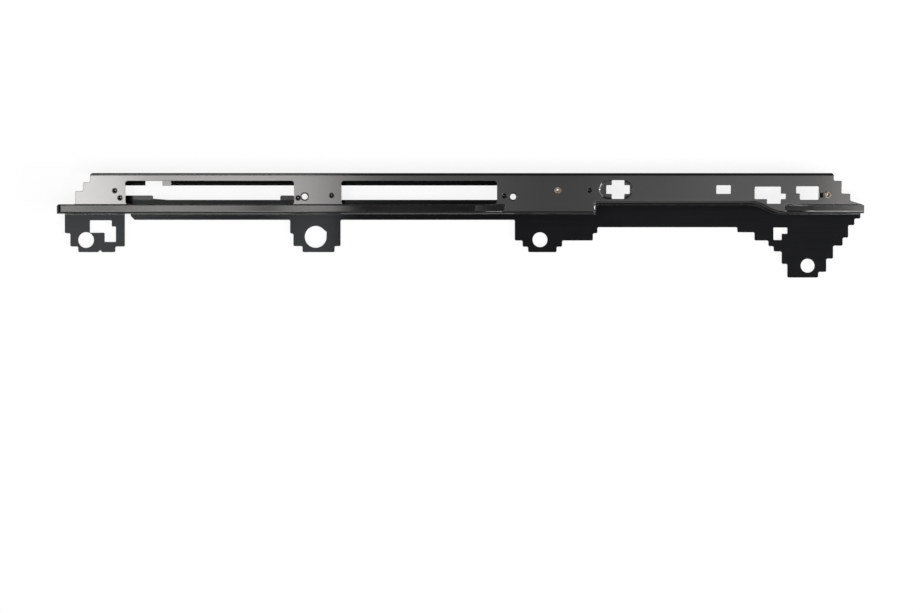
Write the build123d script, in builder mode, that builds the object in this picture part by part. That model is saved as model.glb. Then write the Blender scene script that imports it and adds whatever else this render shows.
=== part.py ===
from build123d import *
import os
from math import cos, radians, sin, tan

# A pressed steel fender bracket: a long open channel with two windows in its
# sloping web, a stepped band along the web's lower edge, and a flange at the
# foot of its inner wall that widens into four mounting tabs.
# Stations run along the bracket from its left end. Depths run across it from
# the outer face of its lip, towards the tabs. +Z is the side the web faces.

# Overall sizes and sheet
rail_length = 810.0
lip_height = 30.0
web_tilt = 8.0
sheet = 1.5
strip_sheet = 1.2
bend_radius = 2.4
corner_radius = 1.5

# Fold line of the inner wall, seen from above
band_fold = 40.5
mid_fold = 29.6
end_fold = 40.0
jump_station = 540.5
sweep_start = rail_length - 114.0
sweep_end = rail_length - 81.0
jump_radius = 2.5
mid_wall_lean = 1.2
jump_wall_lean = 2.4

# Stepped band along the web's lower edge
crease = 31.2
band_step = 2.2
band_slope = 4.0
crease_width = 1.0
left_band_end = 450.0
right_band_start = rail_length - 80.0
left_band_ramp = 30.0
right_band_ramp = 30.0
faded_step = 0.4
band_overhang = 8.0

# Flight of steps at each end of the web, as (station, depth reached)
end_margin = 5.0
lip_corner = 2.0
left_end_steps = [(20.0, 18.0), (28.0, 9.4), (35.2, lip_corner)]
right_end_steps = [(rail_length - 14.4, 20.7), (rail_length - 23.3, 7.9), (rail_length - 31.4, lip_corner)]
nose_radius = 5.0
nose_corner = 2.0
right_tread = (27.8, 33.5)

# Windows in the web
window_radius = 2.8
first_window = (70.3, 239.0)
second_window = (286.5, 442.0)
window_top = 8.0

# Small openings in the web, built from rectangles: station, depth, length, width
opening_radius = 0.8
cross_opening = [(551.5, 12.2, 23.3, 8.7), (556.9, 7.3, 12.5, 18.6)]
square_opening = [(rail_length - 148.6, 12.3, 14.4, 8.6)]
key_opening = [
    (rail_length - 110.1, 13.7, 26.1, 12.4),
    (rail_length - 90.0, 20.7, 11.0, 5.4),
    (rail_length - 97.6, 20.0, 13.6, 10.7),
]
notched_opening = [(rail_length - 64.9, 13.4, 18.7, 13.4), (rail_length - 68.6, 13.4, 10.0, 7.1)]
pockets = [(rail_length - 45.2, 19.5, 3.7, 4.9), (569.4, 7.9, 3.2, 3.6)]
pocket_depth = 1.0

# Shallow oblong dish around the cross opening
dish_place = (560.8, 16.6)
dish_size = (33.6, 19.0)
dish_depth = 0.8
dish_slope = 60.0

# Round holes in the web, as (station, depth)
screw_hole = 6.0
screw_places = [(249.6, 23.6), (458.1, 23.8)]
nut_hole = 5.2
nut_places = [(59.7, 17.7), (64.8, 24.9), (243.0, 24.9), (276.7, 22.5), (449.6, 22.8), (534.8, 17.4)]
insert_hole = 5.0
insert_places = [(502.7, 17.2), (rail_length - 37.0, 21.9)]

# Closed weld nuts under the web and threaded inserts through it
nut_diameter = 7.0
nut_bore = 4.2
nut_height = 4.4
nut_cap = 1.0
insert_flange = 6.8
insert_flange_height = 0.8
insert_bulge = 6.4
insert_bulge_height = 2.0
insert_bore = 3.3
insert_depth = 7.0
insert_clearance = 0.1

# Return flange at the foot of the lip, with a notch and an ear beside it
return_width = 11.1
return_start = 52.0
return_end = 455.0
return_notch = (86.6, 104.0)
notch_root = 6.5
return_ear = (104.6, 112.6)
return_ear_reach = 11.4
return_ear_top = 4.1

# Foot flange and tabs. Each step is (station, depth beyond the flange's edge) of its outer corner,
# and the outer steps and holes keep their distance from the tab's tip
flange_start = 71.9
flange_reach = 45.9
flange_chamfer = 4.0
mid_flange_extra = 7.5
tab_reach = 32.7
end_tab_reach = 58.4
first_tab = (
    [(5.3, 13.6), (10.9, tab_reach - 5.7), (18.9, tab_reach)],
    [(65.9, tab_reach - 5.7), (56.3, tab_reach)],
)
second_tab = (
    [(233.2, 13.9), (236.5, tab_reach - 6.1), (245.7, tab_reach)],
    [(284.2, tab_reach - 6.1), (278.1, tab_reach)],
)
third_tab = (
    [(460.4, tab_reach - 11.8), (468.3, tab_reach - 5.5), (473.9, tab_reach)],
    [(544.0, 13.6), (539.4, tab_reach - 11.8), (508.3, tab_reach - 5.5), (502.7, tab_reach)],
)
end_tab = (
    [
        (rail_length - 124.5, 12.6), (rail_length - 107.1, 20.9), (rail_length - 93.0, 26.7),
        (rail_length - 87.7, 32.0), (rail_length - 79.6, end_tab_reach - 13.8), (rail_length - 73.9, end_tab_reach),
    ],
    [
        (rail_length, -1.2), (rail_length - 6.1, 5.4), (rail_length - 12.4, 18.0), (rail_length - 18.0, 26.2),
        (rail_length - 27.7, end_tab_reach - 19.1),
        (rail_length - 34.6, end_tab_reach - 5.7), (rail_length - 42.7, end_tab_reach),
    ],
)

# Holes in the tabs, also from the flange's edge: round ones as (station, depth, diameter)
tab_holes = [
    (26.8, tab_reach - 12.3, 15.9), (259.0, tab_reach - 15.5, 22.0), (485.9, tab_reach - 12.6, 15.0),
    (rail_length - 53.4, end_tab_reach - 12.0, 14.1),
]
nick_station = 41.0
nick_radius = 1.7
hole_corner = [(5.0, -9.6), (11.1, -5.0), (10.9, 0.4)]
first_tab_cutout = [(30.6, 0.5, 22.2, 12.5), (45.5, 6.8, 11.5, 15.5)]
end_tab_cutout = [(rail_length - 88.0, 7.8, 14.1, 6.3), (rail_length - 88.0, 7.8, 8.4, 12.6)]

# Closing strip under the foot flange, with two ears bent up along its upper edge
strip_start = 60.0
strip_shoulder = 37.5
strip_end = 459.0
strip_top = 25.6
strip_wedge = (24.4, 110.0)
ear_rise = 0.42
ear_reach = 4.4
ear_radius = 1.5
first_ear = (66.4, 94.4)
second_ear = (223.1, 237.2)

# Derived places
half_length = rail_length / 2
half_width = (flange_reach + end_tab_reach) / 2
flange_floor = strip_sheet
flange_root = mid_fold - bend_radius - sheet
slope = tan(radians(web_tilt))
cut_top = lip_height + 10
cut_floor = lip_height / 3
web_plane = Plane(
    origin=(0, half_width, lip_height),
    x_dir=(1, 0, 0),
    z_dir=(0, -sin(radians(web_tilt)), cos(radians(web_tilt))),
)


def along(station):
    """X of a station."""
    return station - half_length


def across(depth):
    """Y of a depth."""
    return half_width - depth


def web_height(depth):
    """Z of the web's outer face at a depth."""
    return lip_height - depth * slope


def on_web(station, depth):
    """Place of a point of the web, in the web's own plane."""
    return (along(station), -depth / cos(radians(web_tilt)))


def plan(points):
    """Points in X and Y from pairs of station and depth."""
    return [(along(station), across(depth)) for station, depth in points]


def flight(steps, start_depth):
    """Corners of a stepped edge, from start_depth out to the last tread."""
    corners = []
    depth = start_depth
    for station, reach in steps:
        corners += [(station, depth), (station, reach)]
        depth = reach
    return corners


def beyond_flange(steps):
    """The same steps, their depths counted from the lip."""
    return [(station, flange_reach + depth) for station, depth in steps]


def wall_outline(height, inset):
    """Edges of the channel's plan at one height, its walls leaning out towards the foot."""
    lean = 1 - height / lip_height
    left = inset
    right = rail_length - inset
    band = band_fold - inset
    middle = mid_fold + mid_wall_lean * lean - inset
    end = end_fold - inset
    jump = jump_station + jump_wall_lean * lean - inset
    before_sweep = plan([(right, inset), (left, inset), (left, band), (jump, band), (jump, middle), (sweep_start, middle)])
    after_sweep = plan([(sweep_end, end), (right, end), (right, inset)])
    Polyline(*before_sweep)
    Spline(before_sweep[-1], after_sweep[0], tangents=[(1, 0), (1, 0)])
    Polyline(*after_sweep)


def band_profile(step, fold, radius):
    """Edges around the space above the band, in Y and Z, rounded over the fold."""
    foot = crease + crease_width
    base = web_height(crease) - step
    bend = (across(fold - radius), base - (fold - radius - foot) * tan(radians(band_slope)))
    tangent = (across(fold), bend[1] - radius)
    beyond = across(fold + band_overhang)
    Polyline(
        (beyond, tangent[1]),
        (beyond, cut_top),
        (across(crease), cut_top),
        (across(crease), web_height(crease)),
        (across(foot), base),
        bend,
    )
    TangentArc(bend, tangent, tangent=(-cos(radians(band_slope)), -sin(radians(band_slope))))
    Line(tangent, (beyond, tangent[1]))


def band_cutter(stations, steps, fold, radius):
    """The space above one stretch of the band, between stations with a given step at each."""
    with BuildPart() as cutter:
        for station, step in zip(stations, steps):
            with BuildSketch(Plane.YZ.offset(along(station))):
                with BuildLine():
                    band_profile(step, fold, radius)
                make_face()
        loft(ruled=True)
    return cutter.part


def nose_cutter(inset):
    """The space around the left end of the band, rounded over down to the end wall."""
    radius = nose_radius - inset
    edge = along(inset)
    lean = radians(band_slope)
    above_band = Plane(
        origin=(0, across(crease + crease_width), web_height(crease) - band_step),
        x_dir=(1, 0, 0),
        z_dir=(0, -cos(lean), -sin(lean)),
    )
    with BuildPart() as cutter:
        with BuildSketch(above_band):
            with BuildLine():
                Polyline(
                    (edge, -radius),
                    (edge - band_overhang, -radius),
                    (edge - band_overhang, band_overhang),
                    (edge + radius, band_overhang),
                    (edge + radius, 0),
                )
                TangentArc((edge + radius, 0), (edge, -radius), tangent=(-1, 0))
            make_face()
        extrude(amount=2 * band_overhang, both=True)
    return cutter.part


def channel(inset):
    """The pressed channel as a solid block, inset by a distance from its outer faces."""
    radius = bend_radius - inset
    lowered = inset * slope - inset / cos(radians(web_tilt))
    left_level = (-band_overhang, left_band_end - left_band_ramp)
    right_level = (right_band_start + right_band_ramp, rail_length + band_overhang)
    cutters = [
        band_cutter(left_level, (band_step, band_step), band_fold, radius),
        band_cutter((left_level[1], left_band_end), (band_step, faded_step), band_fold, radius),
        band_cutter((right_band_start, right_level[0]), (faded_step, band_step), end_fold, radius),
        band_cutter(right_level, (band_step, band_step), end_fold, radius),
        nose_cutter(inset),
    ]
    with BuildPart() as block:
        for height in (0, cut_top):
            with BuildSketch(Plane.XY.offset(height)):
                with BuildLine():
                    wall_outline(height, inset)
                make_face()
        loft(ruled=True)
        split(bisect_by=web_plane.offset(-inset), keep=Keep.BOTTOM)
        upright = block.edges().filter_by(lambda edge: abs(edge.tangent_at(0.5).Z) > 0.9)
        jump = along(jump_station)
        fillet(upright.filter_by_position(Axis.X, jump - jump_wall_lean, jump + jump_wall_lean), jump_radius)
        web_face = block.faces().filter_by(web_plane).sort_by(Axis.Z)[-1]
        inner_limit = half_length - inset - bend_radius
        fillet(web_face.edges().filter_by_position(Axis.X, -inner_limit, inner_limit), radius)
        with Locations((0, inset, lowered)):
            for cutter in cutters:
                add(cutter, mode=Mode.SUBTRACT)
    return block.part


def dish(inset):
    """The oblong dish around the cross opening, for a face inset under the outer one."""
    with BuildPart() as hollow:
        with BuildSketch(web_plane.offset(-inset)):
            with Locations(on_web(*dish_place)):
                SlotOverall(*dish_size)
        extrude(amount=-dish_depth, taper=dish_slope)
    return hollow.part


def rectangle(station, depth, length, width):
    """A rectangle of the plan, from its corner of lowest station and depth."""
    with Locations((along(station), across(depth))):
        Rectangle(length, width, align=(Align.MIN, Align.MAX))


def return_profile():
    """Edges around the return flange in Y and Z, with its bend up into the lip."""
    Line((across(0), bend_radius), (across(sheet), bend_radius))
    RadiusArc((across(sheet), bend_radius), (across(bend_radius), sheet), bend_radius - sheet)
    Polyline(
        (across(bend_radius), sheet),
        (across(return_width), sheet),
        (across(return_width), 0),
        (across(bend_radius), 0),
    )
    RadiusArc((across(bend_radius), 0), (across(0), bend_radius), -bend_radius)


def ear_profile():
    """Edges around the ear of the return flange in Y and Z: a riser, then a plate as steep as the web."""
    fall = (return_ear_reach - notch_root) * slope
    Polyline(
        (across(notch_root - sheet), 0),
        (across(notch_root), 0),
        (across(notch_root), return_ear_top - sheet),
        (across(return_ear_reach), return_ear_top - sheet - fall),
        (across(return_ear_reach), return_ear_top - fall),
        (across(notch_root), return_ear_top),
        (across(notch_root - sheet), return_ear_top),
        close=True,
    )


def web_circles(places, diameter):
    """Circles in the web's plane."""
    with Locations([on_web(*place) for place in places]):
        Circle(diameter / 2)


# Openings of the web, cut straight down, and its round holes, cut square to it
with BuildPart() as web_cuts:
    with BuildSketch(Plane.XY.offset(cut_floor)):
        for first, last in (first_window, second_window):
            rectangle(first, window_top, last - first, crease - window_top)
        fillet(vertices(), window_radius)
    extrude(amount=cut_top - cut_floor)
    with BuildSketch(Plane.XY.offset(cut_floor)):
        for shape in (cross_opening, square_opening, key_opening, notched_opening):
            for corner_and_size in shape:
                rectangle(*corner_and_size)
        fillet(vertices(), opening_radius)
    extrude(amount=cut_top - cut_floor)
    with BuildSketch(web_plane):
        web_circles(screw_places, screw_hole)
        web_circles(nut_places, nut_hole)
        web_circles(insert_places, insert_hole)
    extrude(amount=2 * sheet, both=True)
    for station, depth, length, width in pockets:
        pocket_floor = web_height(depth) - pocket_depth
        with BuildSketch(Plane.XY.offset(pocket_floor)):
            rectangle(station, depth, length, width)
        extrude(amount=cut_top - pocket_floor)

# Stepped ends of the web and the lip
with BuildPart() as end_cuts:
    with BuildSketch():
        for outline in (
            [(-end_margin, crease + nose_corner + end_margin), (nose_corner, crease)]
            + flight(left_end_steps, crease)
            + [(left_end_steps[-1][0] + lip_corner + end_margin, -end_margin), (-end_margin, -end_margin)],
            [(rail_length + end_margin, right_tread[1])]
            + flight(right_end_steps, right_tread[0])
            + [(right_end_steps[-1][0] - lip_corner - end_margin, -end_margin)]
            + [(rail_length + end_margin, -end_margin)],
        ):
            with BuildLine():
                Polyline(*plan(outline), close=True)
            make_face()
        fillet(vertices(), corner_radius)
    extrude(amount=cut_top)

# Foot flange and tabs
mid_flange_reach = flange_reach + mid_flange_extra
(first_left, first_right), (second_left, second_right), (third_left, third_right), (end_left, end_right) = [
    [beyond_flange(steps) for steps in tab] for tab in (first_tab, second_tab, third_tab, end_tab)
]
with BuildPart() as foot:
    with BuildSketch(Plane.XY.offset(flange_floor)):
        for outline in (
            flight(first_left, flange_root) + flight(first_right, flange_root)[::-1],
            [(flange_start, flange_root), (flange_start, flange_reach - flange_chamfer)]
            + [(flange_start + flange_chamfer, flange_reach)]
            + flight(second_left, flange_reach)
            + flight(second_right, flange_reach)[::-1]
            + flight(third_left, flange_reach)
            + flight(third_right, mid_flange_reach)[::-1]
            + flight(end_left, mid_flange_reach)
            + flight(end_right, flange_root)[::-1],
        ):
            with BuildLine():
                Polyline(*plan(outline), close=True)
            make_face()
        fillet(vertices(), corner_radius)
        for station, depth, diameter in tab_holes:
            with Locations((along(station), across(flange_reach + depth))):
                Circle(diameter / 2, mode=Mode.SUBTRACT)
        with Locations((along(nick_station), across(flange_reach + tab_reach))):
            Circle(nick_radius, mode=Mode.SUBTRACT)
        station, depth, diameter = tab_holes[1]
        with BuildLine():
            corner = [(station + shift, flange_reach + depth + drop) for shift, drop in [(0, 0), *hole_corner]]
            Polyline(*plan(corner), close=True)
        make_face(mode=Mode.SUBTRACT)
    extrude(amount=sheet)
    with BuildSketch(Plane.XY.offset(flange_floor)):
        for station, depth, length, width in first_tab_cutout + end_tab_cutout:
            rectangle(station, flange_reach + depth, length, width)
        fillet(vertices(), opening_radius)
    extrude(amount=sheet, mode=Mode.SUBTRACT)

# Space inside the channel
inner_block = channel(sheet)
inner_dish = dish(sheet)
with BuildPart() as space:
    add(inner_block)
    add(inner_dish, mode=Mode.SUBTRACT)

# The rail: one sheet
outer_block = channel(0)
outer_dish = dish(0)
with BuildPart() as rail:
    add(outer_block)
    add(outer_dish, mode=Mode.SUBTRACT)
    add(foot.part)
    add(space.part, mode=Mode.SUBTRACT)
    with BuildSketch():
        rectangle(0, return_width, rail_length, flange_reach + end_tab_reach)
    extrude(amount=flange_floor, mode=Mode.SUBTRACT)
    with BuildSketch():
        rectangle(return_start, 0, return_end - return_start, sheet)
    extrude(amount=bend_radius, mode=Mode.SUBTRACT)
    with BuildSketch(Plane.YZ.offset(along(return_start))):
        with BuildLine():
            return_profile()
        make_face()
    extrude(amount=return_end - return_start)
    with BuildSketch():
        rectangle(return_notch[0], notch_root, return_notch[1] - return_notch[0], return_width)
    extrude(amount=sheet, mode=Mode.SUBTRACT)
    ear_length = return_ear[1] - return_ear[0]
    with BuildSketch():
        rectangle(return_ear[0], notch_root, ear_length, return_width)
    extrude(amount=sheet, mode=Mode.SUBTRACT)
    with BuildSketch(Plane.YZ.offset(along(return_ear[0]))):
        with BuildLine():
            ear_profile()
        make_face()
    extrude(amount=ear_length)
    add(web_cuts.part, mode=Mode.SUBTRACT)
    add(end_cuts.part, mode=Mode.SUBTRACT)

# Closing strip
with BuildPart() as closing_strip:
    with BuildSketch():
        with BuildLine():
            Polyline(
                *plan([
                    (strip_start, strip_top), (strip_start, strip_shoulder), (flange_start, strip_shoulder),
                    (flange_start, flange_reach - flange_chamfer), (flange_start + flange_chamfer, flange_reach),
                    (strip_end, flange_reach), (strip_end, strip_top), (strip_wedge[1], strip_top),
                    (first_ear[1], strip_wedge[0]), (first_ear[1], strip_top),
                ]),
                close=True,
            )
        make_face()
    extrude(amount=strip_sheet)
    free_edge = across(strip_top - ear_reach)
    for first, last in (first_ear, second_ear):
        with BuildSketch(Plane.YZ.offset(along(first))):
            with BuildLine():
                Polyline(
                    (across(strip_top), 0),
                    (free_edge, ear_rise),
                    (free_edge, ear_rise + strip_sheet),
                    (across(strip_top), strip_sheet),
                    close=True,
                )
            make_face()
        extrude(amount=last - first)
    ear_corners = closing_strip.edges().filter_by(Axis.Z).filter_by_position(Axis.Y, free_edge - 0.1, free_edge + 0.1)
    fillet(ear_corners, ear_radius)

# Weld nuts, closed at the back
with BuildPart() as weld_nuts:
    with BuildSketch(web_plane.offset(-sheet)):
        web_circles(nut_places, nut_diameter)
    extrude(amount=-nut_height)
    with BuildSketch(web_plane.offset(-sheet)):
        web_circles(nut_places, nut_bore)
    extrude(amount=nut_cap - nut_height, mode=Mode.SUBTRACT)

# Threaded inserts, their flanges on the web's outer face and their bulges under it
with BuildPart() as rivet_nuts:
    with BuildSketch(web_plane):
        web_circles(insert_places, insert_flange)
    extrude(amount=insert_flange_height)
    with BuildSketch(web_plane):
        web_circles(insert_places, insert_hole - 2 * insert_clearance)
    extrude(amount=-insert_depth)
    with BuildSketch(web_plane.offset(-sheet)):
        web_circles(insert_places, insert_bulge)
    extrude(amount=-insert_bulge_height)
    with BuildSketch(web_plane.offset(insert_flange_height)):
        web_circles(insert_places, insert_bore)
    extrude(amount=-insert_depth - insert_flange_height, mode=Mode.SUBTRACT)

os.makedirs("parts", exist_ok=True)
for name, builder in (
    ("rail", rail),
    ("closing_strip", closing_strip),
    ("weld_nuts", weld_nuts),
    ("rivet_nuts", rivet_nuts),
):
    builder.part.label = name
    export_step(builder.part, f"parts/{name}.step")
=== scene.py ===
# %% [markdown]
# # A pressed steel fender bracket
# The bracket carries the upper edge of a car's fender. It is one long steel
# channel, pressed from sheet and dipped in a thin black coat. The shape comes
# from a CAD model. This lesson gives it its finish and its small turned details:
# screw threads, the domed ends of the nuts and the collars of two screw holes.
# Then come a floor, a room, lamps and a camera that looks straight down.
#
# A dark, smooth thing shows mostly what it reflects. So the lamps matter here
# as much as the coat does.

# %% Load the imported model
import math

import bmesh
import bpy
from mathutils import Matrix, Vector


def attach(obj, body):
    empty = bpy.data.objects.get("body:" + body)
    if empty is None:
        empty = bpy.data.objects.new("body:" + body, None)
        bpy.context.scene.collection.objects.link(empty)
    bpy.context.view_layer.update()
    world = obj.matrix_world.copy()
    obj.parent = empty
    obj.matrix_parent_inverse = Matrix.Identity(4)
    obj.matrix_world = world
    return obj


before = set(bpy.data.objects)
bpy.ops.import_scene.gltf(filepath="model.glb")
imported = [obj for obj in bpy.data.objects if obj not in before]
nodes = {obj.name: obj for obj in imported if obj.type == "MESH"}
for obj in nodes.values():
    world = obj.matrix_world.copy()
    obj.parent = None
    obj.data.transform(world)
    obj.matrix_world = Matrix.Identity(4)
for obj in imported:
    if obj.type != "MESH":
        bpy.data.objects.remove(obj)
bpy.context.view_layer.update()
print("pieces:", ", ".join(sorted(nodes)))

# %% [markdown]
# ## Places on the bracket
# Places are counted as the CAD model counts them: a station runs along the
# bracket from its left end, and a depth runs across it from the lip. The web
# slopes down by eight degrees from the lip. Helpers turn such a place into
# Blender's coordinates, so that each detail lands on the sheet.

# %% Stations and depths
HALF_LENGTH = 0.405  # metres, as are all lengths here
HALF_WIDTH = 0.05215
WEB_HEIGHT = 0.030
WEB_TILT = math.radians(8.0)
SHEET = 0.0015
WEB_NORMAL = Vector((0, -math.sin(WEB_TILT), math.cos(WEB_TILT)))


def on_web(station, depth, above=0.0):
    """A point on the web's outer face, or above it along its normal. All in metres."""
    height = WEB_HEIGHT - depth * math.tan(WEB_TILT)
    return Vector((station - HALF_LENGTH, HALF_WIDTH - depth, height)) + above * WEB_NORMAL


MIDDLE_DEPTH = 0.018
middle = on_web(HALF_LENGTH, MIDDLE_DEPTH)
print("middle of the web in mm:", [round(1000 * value, 1) for value in middle])

# %% [markdown]
# ## The camera
# The picture looks straight down at the bracket from about two metres. From
# there a long lens keeps the raised web and the flat tabs at almost one scale.
# The frame's centre lies below the bracket, so the bracket sits in the upper
# half of the picture.

# %% Place the camera
CAMERA_PLACE = (0, -0.0814, 2.228)
LENS = 86.1
SENSOR_WIDTH = 36
camera_data = bpy.data.cameras.new("camera")
camera_data.lens = LENS
camera_data.sensor_width = SENSOR_WIDTH
camera = bpy.data.objects.new("camera", camera_data)
camera.location = CAMERA_PLACE
bpy.context.scene.collection.objects.link(camera)
bpy.context.scene.camera = camera
seen = (CAMERA_PLACE[2] - middle.z) * SENSOR_WIDTH / LENS
print(f"width of the view at the web: {1000 * seen:.0f} mm")

# %% [markdown]
# ## Small helpers for shader nodes
# A finish is a small network of nodes. These helpers keep the network short: one
# adds a node with its settings, one starts a node group with its named inputs
# and outputs, and one fills a colour ramp. A ramp sorts its marks by place, so
# every mark gets its place first and its colour afterwards.

# %% Node helpers
def add_node(tree, kind, **settings):
    """Adds a shader node. Settings that start with in_ set an input socket by name."""
    node = tree.nodes.new(kind)
    for name, value in settings.items():
        if name.startswith("in_"):
            node.inputs[name[3:].replace("_", " ")].default_value = value
        else:
            setattr(node, name, value)
    return node


def new_group(name, inputs, outputs):
    """A node group with its named sockets, and its input and output nodes."""
    tree = bpy.data.node_groups.new(name, "ShaderNodeTree")
    for label, value in inputs.items():
        socket = tree.interface.new_socket(
            name=label, in_out="INPUT", socket_type="NodeSocketFloat"
        )
        socket.default_value = value
    for label, kind in outputs.items():
        tree.interface.new_socket(name=label, in_out="OUTPUT", socket_type=kind)
    return tree, tree.nodes.new("NodeGroupInput"), tree.nodes.new("NodeGroupOutput")


def fill_ramp(ramp, stops):
    """Gives a colour ramp its (place, colour) stops."""
    marks = ramp.color_ramp.elements
    while len(marks) < len(stops):
        marks.new(0.5)
    for mark, (place, _) in zip(marks, stops):
        mark.position = place
    for mark, (_, colour) in zip(marks, stops):
        mark.color = (*colour, 1)


print("node helpers ready")

# %% [markdown]
# ## Effect: the grain of a dipped coat
# A dipped coat is not quite even. It has a fine orange-peel skin, long faint
# streaks where the sheet ran through the press, and broad cloudy patches. Three
# noise textures make these. The streaks are a noise squeezed along the bracket.
# One group makes them all, because the rail, the strip and the nuts share it.

# %% Coat grain group
grain, grain_in, grain_out = new_group(
    "coat_grain",
    {"Skin Size": 0.0016, "Streak Size": 0.003, "Patch Size": 0.06},
    {"Tone": "NodeSocketFloat", "Gloss": "NodeSocketFloat", "Height": "NodeSocketFloat"},
)
place = add_node(grain, "ShaderNodeTexCoord")
squeeze = add_node(grain, "ShaderNodeMapping", in_Scale=(0.03, 1.0, 1.0))
grain.links.new(place.outputs["Object"], squeeze.inputs["Vector"])


def noise_of_size(tree, size_socket, vector, detail):
    """A noise texture whose spots have the size that a socket gives in metres."""
    per_metre = add_node(tree, "ShaderNodeMath", operation="DIVIDE")
    per_metre.inputs[0].default_value = 1.0
    noise = add_node(tree, "ShaderNodeTexNoise", in_Detail=detail, in_Roughness=0.55)
    tree.links.new(size_socket, per_metre.inputs[1])
    tree.links.new(per_metre.outputs[0], noise.inputs["Scale"])
    tree.links.new(vector, noise.inputs["Vector"])
    return noise.outputs["Fac"]


skin = noise_of_size(grain, grain_in.outputs["Skin Size"], place.outputs["Object"], 2.0)
streak = noise_of_size(grain, grain_in.outputs["Streak Size"], squeeze.outputs["Vector"], 3.0)
patch = noise_of_size(grain, grain_in.outputs["Patch Size"], place.outputs["Object"], 3.0)
print("coat grain: three noises")

# %% [markdown]
# The three noises are blended in pairs: patches and streaks for the tone,
# patches and skin for the gloss, and skin and streaks for the height.

# %% Blend the grain
def mix_values(tree, first, second, share):
    """A blend of two values, with a share of the second."""
    mix = add_node(tree, "ShaderNodeMix", data_type="FLOAT")
    mix.inputs["Factor"].default_value = share
    tree.links.new(first, mix.inputs["A"])
    tree.links.new(second, mix.inputs["B"])
    return mix.outputs["Result"]


grain.links.new(mix_values(grain, patch, streak, 0.5), grain_out.inputs["Tone"])
grain.links.new(mix_values(grain, patch, skin, 0.4), grain_out.inputs["Gloss"])
grain.links.new(mix_values(grain, skin, streak, 0.3), grain_out.inputs["Height"])
print("coat grain:", len(grain.nodes), "nodes")

# %% [markdown]
# ## Effect: rubbed edges, partly a painted highlight
# Where sheet was cut or folded, the coat is thin and handling rubs it. The greyer
# line this group lays there is partly that wear and partly a painted highlight
# along the edges. Blender's Bevel node gives the normal that a rounded edge would
# have. The more it differs from the real normal, the nearer the edge. That makes a
# mask for the greyer line, and the same normal also rounds the edge for the light.

# %% Rubbed edge group, partly a painted edge highlight
EDGE_RADIUS = 0.0005
wear_and_highlight, wear_highlight_in, wear_highlight_out = new_group(
    "edge_wear_and_painted_highlight",
    {"Patch Size": 0.004},
    {"Mask": "NodeSocketFloat", "Normal": "NodeSocketVector"},
)
rounded = add_node(wear_and_highlight, "ShaderNodeBevel", samples=8, in_Radius=EDGE_RADIUS)
surface = add_node(wear_and_highlight, "ShaderNodeNewGeometry")
agree = add_node(wear_and_highlight, "ShaderNodeVectorMath", operation="DOT_PRODUCT")
wear_and_highlight.links.new(rounded.outputs["Normal"], agree.inputs[0])
wear_and_highlight.links.new(surface.outputs["Normal"], agree.inputs[1])
differ = add_node(wear_and_highlight, "ShaderNodeMapRange", in_From_Min=0.995, in_From_Max=0.86)
wear_and_highlight.links.new(agree.outputs["Value"], differ.inputs["Value"])
wear_highlight_place = add_node(wear_and_highlight, "ShaderNodeTexCoord")
broken = noise_of_size(wear_and_highlight, wear_highlight_in.outputs["Patch Size"], wear_highlight_place.outputs["Object"], 4.0)
wear_highlight_breaks = add_node(wear_and_highlight, "ShaderNodeMapRange", in_From_Min=0.4, in_From_Max=0.62)
wear_and_highlight.links.new(broken, wear_highlight_breaks.inputs["Value"])
masked = add_node(wear_and_highlight, "ShaderNodeMath", operation="MULTIPLY")
wear_and_highlight.links.new(differ.outputs["Result"], masked.inputs[0])
wear_and_highlight.links.new(wear_highlight_breaks.outputs["Result"], masked.inputs[1])
# The mask marks the greyer edge line: wear, and partly a painted highlight.
wear_and_highlight.links.new(masked.outputs[0], wear_highlight_out.inputs["Mask"])
wear_and_highlight.links.new(rounded.outputs["Normal"], wear_highlight_out.inputs["Normal"])
print("rubbed edge:", len(wear_and_highlight.nodes), "nodes")

# %% [markdown]
# ## Finish: the black coat
# The coat is near black and fairly glossy. A dark colour, a low roughness and
# the two effects make it. The grain moves the tone and the gloss a little, and
# the edges show a thin greyer line, partly rubbed coat and partly a painted
# highlight. The strip and the nuts are a little rougher than the rail.

# %% Helpers for a finish
def group_node(tree, group, **values):
    """Places a node group in a material, with its own values."""
    node = tree.nodes.new("ShaderNodeGroup")
    node.node_tree = group
    for name, value in values.items():
        node.inputs[name.replace("_", " ")].default_value = value
    return node


def ranged(tree, value, low, high):
    """Moves a value that lies around 0.3 to 0.7 into a range of its own."""
    node = add_node(
        tree, "ShaderNodeMapRange", in_From_Min=0.3, in_From_Max=0.7, in_To_Min=low, in_To_Max=high
    )
    tree.links.new(value, node.inputs["Value"])
    return node.outputs["Result"]


print("finish helpers ready")

# %% [markdown]
# The finish blends two tones by the grain, then lays the greyer edge colour over
# them by the edge mask; that grey is partly rubbed metal and partly a painted
# highlight. The grain also drives the roughness and a very shallow bump, which
# starts from the rounded normal of the edges.

# %% Coat finish
# Grey of the edge line: worn coat, and partly a painted highlight.
EDGE_WEAR_AND_HIGHLIGHT = (0.05, 0.05, 0.05, 1)
PEEL_DEPTH = 0.000002


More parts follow.
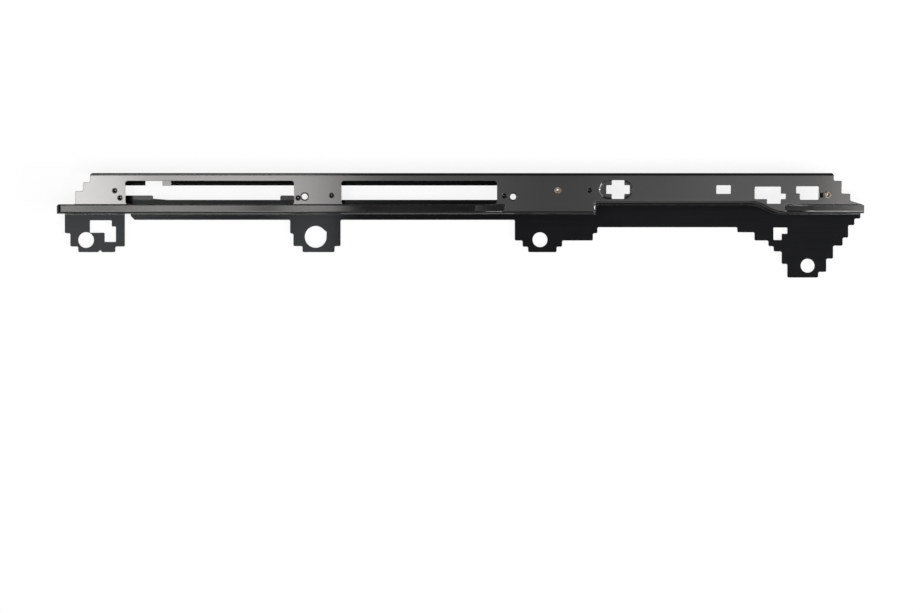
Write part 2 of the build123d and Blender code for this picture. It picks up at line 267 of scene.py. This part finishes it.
def coat_finish(name, dark, light, smooth, rough, skin_size=0.0016):
    """A dipped black coat with grain and a greyer edge line, partly rubbed coat and partly a
    painted highlight.
    """
    material = bpy.data.materials.new(name)
    material.use_nodes = True
    tree = material.node_tree
    shader = tree.nodes["Principled BSDF"]
    shader.inputs["IOR"].default_value = 1.5
    texture = group_node(tree, grain, Skin_Size=skin_size)
    edge = group_node(tree, wear_and_highlight)
    tone = add_node(tree, "ShaderNodeMix", data_type="RGBA")
    tone.inputs["A"].default_value = (*dark, 1)
    tone.inputs["B"].default_value = (*light, 1)
    tree.links.new(ranged(tree, texture.outputs["Tone"], 0, 1), tone.inputs["Factor"])
    # Lays the edge grey, partly wear and partly a painted highlight, over the tones.
    bare_and_highlight = add_node(tree, "ShaderNodeMix", data_type="RGBA")
    bare_and_highlight.inputs["B"].default_value = EDGE_WEAR_AND_HIGHLIGHT
    tree.links.new(tone.outputs["Result"], bare_and_highlight.inputs["A"])
    tree.links.new(edge.outputs["Mask"], bare_and_highlight.inputs["Factor"])
    tree.links.new(bare_and_highlight.outputs["Result"], shader.inputs["Base Color"])
    roughness = ranged(tree, texture.outputs["Gloss"], smooth, rough)
    tree.links.new(roughness, shader.inputs["Roughness"])
    bump = add_node(tree, "ShaderNodeBump", in_Strength=0.5, in_Distance=PEEL_DEPTH)
    tree.links.new(texture.outputs["Height"], bump.inputs["Height"])
    tree.links.new(edge.outputs["Normal"], bump.inputs["Normal"])
    tree.links.new(bump.outputs["Normal"], shader.inputs["Normal"])
    return material


rail_coat = coat_finish(
    "rail_coat",
    dark=(0.0035, 0.0036, 0.004),
    light=(0.0065, 0.0067, 0.0073),
    smooth=0.06,
    rough=0.09,
)
strip_coat = coat_finish(
    "strip_coat",
    dark=(0.0035, 0.0036, 0.004),
    light=(0.006, 0.0062, 0.0068),
    smooth=0.11,
    rough=0.16,
)
nut_coat = coat_finish(
    "nut_coat",
    dark=(0.003, 0.003, 0.0032),
    light=(0.005, 0.005, 0.0054),
    smooth=0.10,
    rough=0.16,
    skin_size=0.0008,
)
print("finishes:", rail_coat.name, strip_coat.name, nut_coat.name)

# %% [markdown]
# ## Finish: yellow zinc
# The two threaded inserts are plated with zinc that has a warm yellow to peach
# tint. Plate is metal, so Metallic is one and the tint is the base colour. A
# fine noise clouds the tint, as on real plated hardware.

# %% Yellow zinc finish
ZINC_DARK = (0.07, 0.054, 0.043, 1)
ZINC_LIGHT = (0.24, 0.195, 0.16, 1)
yellow_zinc = bpy.data.materials.new("yellow_zinc")
yellow_zinc.use_nodes = True
tree = yellow_zinc.node_tree
shader = tree.nodes["Principled BSDF"]
shader.inputs["Metallic"].default_value = 1.0
cloud = group_node(tree, grain, Skin_Size=0.0005, Streak_Size=0.002, Patch_Size=0.003)
edge = group_node(tree, wear_and_highlight, Patch_Size=0.001)
tint = add_node(tree, "ShaderNodeMix", data_type="RGBA")
tint.inputs["A"].default_value = ZINC_DARK
tint.inputs["B"].default_value = ZINC_LIGHT
tree.links.new(ranged(tree, cloud.outputs["Gloss"], 0, 1), tint.inputs["Factor"])
tree.links.new(tint.outputs["Result"], shader.inputs["Base Color"])
tree.links.new(ranged(tree, cloud.outputs["Tone"], 0.22, 0.4), shader.inputs["Roughness"])
tree.links.new(edge.outputs["Normal"], shader.inputs["Normal"])
print("finish:", yellow_zinc.name)

# %% [markdown]
# ## Dress the CAD pieces
# Each CAD piece keeps its shape. Only the material in its slots changes.

# %% Assign the finishes
for name, finish in (
    ("rail", rail_coat),
    ("closing_strip", strip_coat),
    ("weld_nuts", nut_coat),
    ("rivet_nuts", yellow_zinc),
):
    slots = nodes[name].material_slots
    for slot in slots:
        slot.material = finish
    print(name, "wears", finish.name, "in", len(slots), "slot")

# %% [markdown]
# ## From a mesh to a piece
# The details that follow are made in mesh code. One helper turns such a mesh
# into an object: it makes the faces point outwards, shades them smooth, gives
# the object its finish and hangs it on the bracket's root.

# %% A helper for small pieces
WEB_TURN = Vector((0, 0, 1)).rotation_difference(WEB_NORMAL)


def add_piece(name, mesh, finish):
    """Makes a mesh into an object that rides on the bracket."""
    bmesh.ops.recalc_face_normals(mesh, faces=mesh.faces)
    data = bpy.data.meshes.new(name)
    mesh.to_mesh(data)
    mesh.free()
    data.materials.append(finish)
    for face in data.polygons:
        face.use_smooth = True
    piece = bpy.data.objects.new(name, data)
    bpy.context.scene.collection.objects.link(piece)
    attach(piece, "root")
    print(name, "has", len(data.vertices), "points")


print("web's turn from level:", round(math.degrees(WEB_TURN.angle), 1), "degrees")

# %% [markdown]
# ## The screw threads
# The nuts and inserts have plain bores in the CAD model. A real bore has a
# thread, which shows as fine rings when light falls in. A thread is a ridge that
# climbs one pitch per turn, so a helix of small triangular ridges is made in
# mesh code and set against the wall of each bore.

# %% One thread
POINTS_PER_TURN = 20
FADED_POINTS = 6  # the ridge rises and dies out over this many points
RIDGE_DEPTH = 0.54  # all three as a share of the pitch
FOOT_HALF_WIDTH = 0.42
CREST_HALF_WIDTH = 0.06


def thread_ridge(mesh, middle, radius, pitch, length):
    """Adds a helical ridge to a mesh. It stands in from a bore's wall, along the web's normal."""
    steps = int(POINTS_PER_TURN * (length / pitch - 1))
    previous = None
    for step in range(steps + 1):
        angle = 2 * math.pi * step / POINTS_PER_TURN
        height = pitch * step / POINTS_PER_TURN - (length - pitch) / 2
        crest = RIDGE_DEPTH * min(1, step / FADED_POINTS, (steps - step) / FADED_POINTS)
        ring = []
        for inward, rise in (
            (0.0, FOOT_HALF_WIDTH),
            (crest, CREST_HALF_WIDTH),
            (crest, -CREST_HALF_WIDTH),
            (0.0, -FOOT_HALF_WIDTH),
        ):
            reach = radius - pitch * inward
            point = (reach * math.cos(angle), reach * math.sin(angle), height + pitch * rise)
            ring.append(mesh.verts.new(middle + WEB_TURN @ Vector(point)))
        if previous:
            for corner in range(3):
                after = corner + 1
                mesh.faces.new((previous[corner], previous[after], ring[after], ring[corner]))
        previous = ring


print("a full turn takes", POINTS_PER_TURN, "points")

# %% Make the threads
NUT_PLACES = [
    (0.0597, 0.0177), (0.0648, 0.0249), (0.2430, 0.0249),
    (0.2767, 0.0225), (0.4496, 0.0228), (0.5348, 0.0174),
]
NUT_BORE_RADIUS = 0.0021
NUT_PITCH = 0.0008
NUT_BORE_DEPTH = 0.0034
INSERT_PLACES = [(0.5027, 0.0172), (0.7730, 0.0219)]
INSERT_BORE_RADIUS = 0.00165
INSERT_PITCH = 0.0007
INSERT_TOP = 0.0008
INSERT_BORE_DEPTH = 0.0078


def threads(name, places, radius, pitch, top, length, finish):
    """One object with a thread in each bore."""
    mesh = bmesh.new()
    for station, depth in places:
        thread_ridge(mesh, on_web(station, depth, top - length / 2), radius, pitch, length)
    add_piece(name, mesh, finish)


threads(
    "nut_threads", NUT_PLACES, NUT_BORE_RADIUS, NUT_PITCH,
    -SHEET, NUT_BORE_DEPTH, nut_coat,
)
threads(
    "insert_threads", INSERT_PLACES, INSERT_BORE_RADIUS, INSERT_PITCH,
    INSERT_TOP, INSERT_BORE_DEPTH, yellow_zinc,
)

# %% [markdown]
# ## Domed ends of the weld nuts
# The weld nuts are closed at the back. The closed end is drawn from the same
# steel as the nut and bulges a little into the bore, which gives the dark holes
# their small highlight. A dome is a turned shape: a short profile of radius and
# height, swept around the web's normal.

# %% A turned shape
TURNED_SIDES = 32


def turned(mesh, middle, profile):
    """Sweeps (radius, height) points around the web's normal. A radius of nought closes it."""
    previous = None
    for radius, height in profile:
        ring = []
        for side in range(TURNED_SIDES if radius else 1):
            angle = 2 * math.pi * side / TURNED_SIDES
            point = (radius * math.cos(angle), radius * math.sin(angle), height)
            ring.append(mesh.verts.new(middle + WEB_TURN @ Vector(point)))
        if previous:
            for side in range(TURNED_SIDES):
                after = (side + 1) % TURNED_SIDES
                if radius:
                    mesh.faces.new((previous[side], previous[after], ring[after], ring[side]))
                else:
                    mesh.faces.new((previous[side], previous[after], ring[0]))
        previous = ring


def turned_pieces(name, places, profile, finish):
    """One object with the same turned shape at each place of the web."""
    mesh = bmesh.new()
    for station, depth in places:
        turned(mesh, on_web(station, depth), profile)
    add_piece(name, mesh, finish)


print("a turned shape has", TURNED_SIDES, "sides")

# %% Make the domed ends
BORE_FLOOR = -SHEET - NUT_BORE_DEPTH
DOME_RISE = 0.00045
DOME_RADIUS = 0.00208  # a hair inside the bore
DOME_SKIRT = 0.0002  # sunk into the bore's floor
DOME_ANGLES = (0.2, 0.45, 0.7, 0.95, 1.2, 1.4)
dome = [(DOME_RADIUS, BORE_FLOOR - DOME_SKIRT)]
for angle in DOME_ANGLES:
    dome.append((DOME_RADIUS * math.cos(angle), BORE_FLOOR + DOME_RISE * math.sin(angle)))
dome.append((0, BORE_FLOOR + DOME_RISE))
turned_pieces("nut_domes", NUT_PLACES, dome, nut_coat)

# %% [markdown]
# ## Collars of the screw holes
# The two screw holes of the web are pierced and then rolled, so each has a low
# collar of metal around its mouth. The collar's round back turns away from the
# lamps and draws a dark ring around the hole.

# %% Make the collars
SCREW_PLACES = [(0.2496, 0.0236), (0.4581, 0.0238)]
COLLAR_INNER = 0.0031
COLLAR_WIDTH = 0.0013
COLLAR_RISE = 0.0006
COLLAR_SINK = 0.0001
COLLAR_STEPS = 8
collar = []
for step in range(COLLAR_STEPS + 1):
    angle = math.pi * step / COLLAR_STEPS
    rim = COLLAR_INNER + COLLAR_WIDTH * (1 + math.cos(angle)) / 2
    collar.append((rim, COLLAR_RISE * math.sin(angle) - COLLAR_SINK))
turned_pieces("hole_collars", SCREW_PLACES, collar, rail_coat)

# %% [markdown]
# ## The floor
# The bracket lies on a white floor that runs past every edge of the picture.
# To the camera and to reflections the floor is mostly a plain white. The rest
# of it is a real pale surface, so the bracket keeps a soft shadow.

# %% Make the floor
FLOOR_REACH = 6.0
FLOOR_DROP = 0.0004
corners = [
    (FLOOR_REACH * side_x, FLOOR_REACH * side_y, 0)
    for side_x, side_y in ((-1, -1), (1, -1), (1, 1), (-1, 1))
]
floor_data = bpy.data.meshes.new("floor")
floor_data.from_pydata(corners, [], [(0, 1, 2, 3)])
floor = bpy.data.objects.new("floor", floor_data)
floor.location.z = -FLOOR_DROP
bpy.context.scene.collection.objects.link(floor)
print("floor runs", FLOOR_REACH, "m each way")

# %% [markdown]
# The floor's white is an emission of strength one, mixed in only for the rays
# that the camera, a reflection or a clear material sends. All other rays meet
# the pale surface.

# %% Paint the floor
WHITE_SHARE = 0.85
paper = bpy.data.materials.new("floor_white")
paper.use_nodes = True
tree = paper.node_tree
shader = tree.nodes["Principled BSDF"]
shader.inputs["Base Color"].default_value = (0.86, 0.86, 0.865, 1)
shader.inputs["Roughness"].default_value = 0.9
shader.inputs["Specular IOR Level"].default_value = 0.0
white = add_node(tree, "ShaderNodeEmission", in_Color=(1, 1, 1, 1), in_Strength=1.0)
path = add_node(tree, "ShaderNodeLightPath")
seen_ray = add_node(tree, "ShaderNodeMath", operation="MAXIMUM")
tree.links.new(path.outputs["Is Camera Ray"], seen_ray.inputs[0])
tree.links.new(path.outputs["Is Glossy Ray"], seen_ray.inputs[1])
seen_rays = add_node(tree, "ShaderNodeMath", operation="MAXIMUM")
tree.links.new(seen_ray.outputs[0], seen_rays.inputs[0])
tree.links.new(path.outputs["Is Transmission Ray"], seen_rays.inputs[1])
share = add_node(tree, "ShaderNodeMath", operation="MULTIPLY")
share.inputs[1].default_value = WHITE_SHARE
tree.links.new(seen_rays.outputs[0], share.inputs[0])
blend = add_node(tree, "ShaderNodeMixShader")
tree.links.new(share.outputs[0], blend.inputs[0])
tree.links.new(shader.outputs[0], blend.inputs[1])
tree.links.new(white.outputs[0], blend.inputs[2])
tree.links.new(blend.outputs[0], tree.nodes["Material Output"].inputs["Surface"])
floor_data.materials.append(paper)
print("floor wears", paper.name)

# %% [markdown]
# ## The room
# The room is pale near the horizon and dark overhead. The tabs and the foot
# flange are flat, so they reflect what is straight above them, and that has to
# be dark for them to look black.

# %% Make the room
ROOM_STOPS = [(0.0, 0.60), (0.30, 0.50), (0.55, 0.18), (0.78, 0.028)]
world = bpy.data.worlds.new("room")
bpy.context.scene.world = world
world.use_nodes = True
tree = world.node_tree
background = tree.nodes["Background"]
direction = add_node(tree, "ShaderNodeTexCoord")
split = add_node(tree, "ShaderNodeSeparateXYZ")
tree.links.new(direction.outputs["Generated"], split.inputs["Vector"])
ramp = add_node(tree, "ShaderNodeValToRGB")
fill_ramp(ramp, [(height, (level, level, 1.01 * level)) for height, level in ROOM_STOPS])
tree.links.new(split.outputs["Z"], ramp.inputs["Fac"])
tree.links.new(ramp.outputs["Color"], background.inputs["Color"])
print("room levels from the horizon up:", [level for _, level in ROOM_STOPS])

# %% [markdown]
# ## The lamps
# A dark glossy sheet shows the ceiling it mirrors. The web slopes by eight
# degrees, the band by four, and the tabs lie flat, so each of them mirrors its
# own strip of the ceiling. Over each strip hangs one long soft lamp. Its light
# changes along its length, as a row of soft boxes and gaps would, and a ramp in
# the lamp's own nodes sets that.

# %% A lamp that changes along its length
CEILING = 2.0
WARM = (1.0, 0.985, 0.965)
COOL = (0.93, 1.0, 1.03)


def area_lamp(name, length_x, length_y, radiance):
    """A rectangular area lamp of a given radiance."""
    data = bpy.data.lights.new(name, "AREA")
    data.shape = "RECTANGLE"
    data.size, data.size_y = length_x, length_y
    data.energy = radiance * math.pi * data.size * data.size_y
    light = bpy.data.objects.new(name, data)
    bpy.context.scene.collection.objects.link(light)
    return light


def graded_lamp(name, near, far, stops, tint):
    """A lamp on the ceiling, near to far in Y, with (X, radiance) stops along the bracket."""
    left, right = stops[0][0], stops[-1][0]
    peak = max(radiance for _, radiance in stops)
    light = area_lamp(name, right - left, far - near, peak)
    light.location = ((left + right) / 2, (near + far) / 2, CEILING)
    data = light.data
    data.use_nodes = True
    tree = data.node_tree
    spot = add_node(tree, "ShaderNodeNewGeometry")
    split = add_node(tree, "ShaderNodeSeparateXYZ")
    tree.links.new(spot.outputs["Parametric"], split.inputs["Vector"])
    ramp = add_node(tree, "ShaderNodeValToRGB")
    tree.links.new(split.outputs["X"], ramp.inputs["Fac"])
    ramp_stops = []
    for place, radiance in stops:
        colour = [share * radiance / peak for share in tint]
        ramp_stops.append(((place - left) / (right - left), colour))
    fill_ramp(ramp, ramp_stops)
    tree.links.new(ramp.outputs["Color"], tree.nodes["Emission"].inputs["Color"])
    print(f"{name}: {len(stops)} stops, brightest {peak} W per square metre and steradian")


print("ceiling at", CEILING, "m")

# %% [markdown]
# The left end of the web looks into the bright end of its lamp, and the light
# falls off towards the middle. Each stop is an X and a radiance.

# %% Hang the web's lamp
WEB_STOPS = [
    (-1.000, 17.50), (-0.720, 18.00), (-0.680, 16.00), (-0.655, 15.20), (-0.620, 12.00),
    (-0.580, 9.90),
    (-0.420, 10.30), (-0.340, 9.30), (-0.300, 8.60), (-0.265, 7.00), (-0.230, 5.00), (-0.190, 3.60),
    (-0.155, 2.50), (-0.110, 2.10), (-0.040, 1.75), (0.040, 1.60), (0.100, 1.35), (0.160, 1.10),
    (0.240, 1.20), (0.300, 1.60), (0.400, 1.75), (0.480, 2.15), (0.600, 2.35), (0.690, 2.60),
    (0.730, 4.80), (0.950, 5.20),
]
graded_lamp("web_lamp", -0.57, -0.34, WEB_STOPS, WARM)

# %% [markdown]
# The band turns dark past its second fifth, where its lamp has a gap. The short
# bright stretch at the far right lights its last part.

# %% Hang the band's lamp
BAND_STOPS = [
    (-1.000, 6.20), (-0.760, 6.00), (-0.700, 4.80), (-0.675, 4.20), (-0.640, 5.20), (-0.600, 6.50),
    (-0.530, 6.00), (-0.460, 5.00), (-0.415, 4.90), (-0.390, 2.40), (-0.355, 2.00), (-0.330, 4.80),
    (-0.290, 5.80), (-0.240, 5.40), (-0.222, 1.80), (-0.208, 0.10), (-0.170, 0.10), (-0.160, 0.30),
    (-0.100, 0.30), (0.000, 0.12), (0.600, 0.15), (0.680, 1.10), (0.735, 2.20), (0.765, 4.60),
    (0.800, 4.00), (0.840, 0.40), (0.870, 0.55), (0.930, 1.20),
]
graded_lamp("band_lamp", -0.21, -0.13, BAND_STOPS, WARM)

# %% [markdown]
# The tabs and the foot flange look into almost nothing, so they stay black. Only
# the two at the left catch a little cool light.

# %% Hang the tabs' lamp
TAB_STOPS = [
    (-1.000, 1.20), (-0.680, 1.20), (-0.600, 0.95), (-0.520, 0.60), (-0.440, 0.40), (-0.370, 0.40),
    (-0.330, 0.80), (-0.300, 1.10), (-0.240, 1.10), (-0.225, 0.05), (0.200, 0.05), (0.300, 0.12),
    (0.700, 0.12), (0.950, 0.25),
]
graded_lamp("tab_lamp", -0.08, 0.112, TAB_STOPS, COOL)

# %% [markdown]
# ## Lamps for the folds and edges
# A fold turns away from its face, so it mirrors what lies beyond that face's
# strip of ceiling. A lamp behind draws the light line along the lip's bend, and
# one in front draws the line under the band.

# %% Hang the lamps for the long folds
LIP_STOPS = [(-0.80, 16.0), (-0.30, 16.0), (-0.20, 0.0)]
FOLD_STOPS = [
    (-0.85, 9.0), (-0.29, 9.0), (-0.26, 0.0), (0.20, 0.0), (0.28, 4.0), (0.50, 5.0),
    (0.58, 2.0), (0.66, 4.0), (0.72, 20.0), (0.80, 32.0), (0.98, 32.0),
]
graded_lamp("lip_lamp", 0.34, 0.80, LIP_STOPS, WARM)
graded_lamp("fold_lamp", -1.25, -0.75, FOLD_STOPS, WARM)

# %% [markdown]
# The step in the band, the wall of the dish and the left end turn towards the
# sides of the room. A narrow strip of light for each runs between two points
# of the sky, each an azimuth and a height in degrees, and faces its target.

# %% Hang the strips at the sides
SKY_DISTANCE = 2.1


def sky_point(target, azimuth, height_angle):
    """A point seen from the target at an azimuth and a height above the floor, in degrees."""
    turn, rise = math.radians(azimuth), math.radians(height_angle)
    level = math.cos(rise)
    heading = Vector((level * math.cos(turn), level * math.sin(turn), math.sin(rise)))
    return target + SKY_DISTANCE * heading


def strip_lamp(name, target, first, last, width, radiance):
    """A narrow lamp that runs between two points of the sky and faces the target."""
    first, last = sky_point(target, *first), sky_point(target, *last)
    along_lamp = (last - first).normalized()
    back = ((first + last) / 2 - target).normalized()
    side = along_lamp.cross(back).normalized()
    back = side.cross(along_lamp)
    length = (last - first).length
    light = area_lamp(name, width, length, radiance)
    turned_frame = Matrix((side, along_lamp, back)).transposed().to_4x4()
    light.matrix_world = Matrix.Translation((first + last) / 2) @ turned_frame
    print(f"{name}: {length:.2f} m long, {radiance} W per square metre and steradian")


BAND_STEP = Vector((0.135, 0.016, 0.025))
DISH = Vector((0.156, 0.036, 0.027))
LEFT_END = Vector((-0.39, 0.02, 0.02))
strip_lamp("step_lamp", BAND_STEP, (-5, 10), (-13, 37), 0.16, 42.0)
strip_lamp("corner_lamp", BAND_STEP, (-12, 30), (-44, 18), 0.34, 12.0)
strip_lamp("dish_lamp_back", DISH, (-9, 25), (42, 38), 0.2, 5.0)
strip_lamp("end_lamp", LEFT_END, (170, 12), (170, 50), 0.5, 3.0)

# %% [markdown]
# ## Plain colours
# The Standard view shows each colour as it is lit, with no film look on top.

# %% Set the view
bpy.context.scene.view_settings.view_transform = "Standard"
print("view:", bpy.context.scene.view_settings.view_transform)
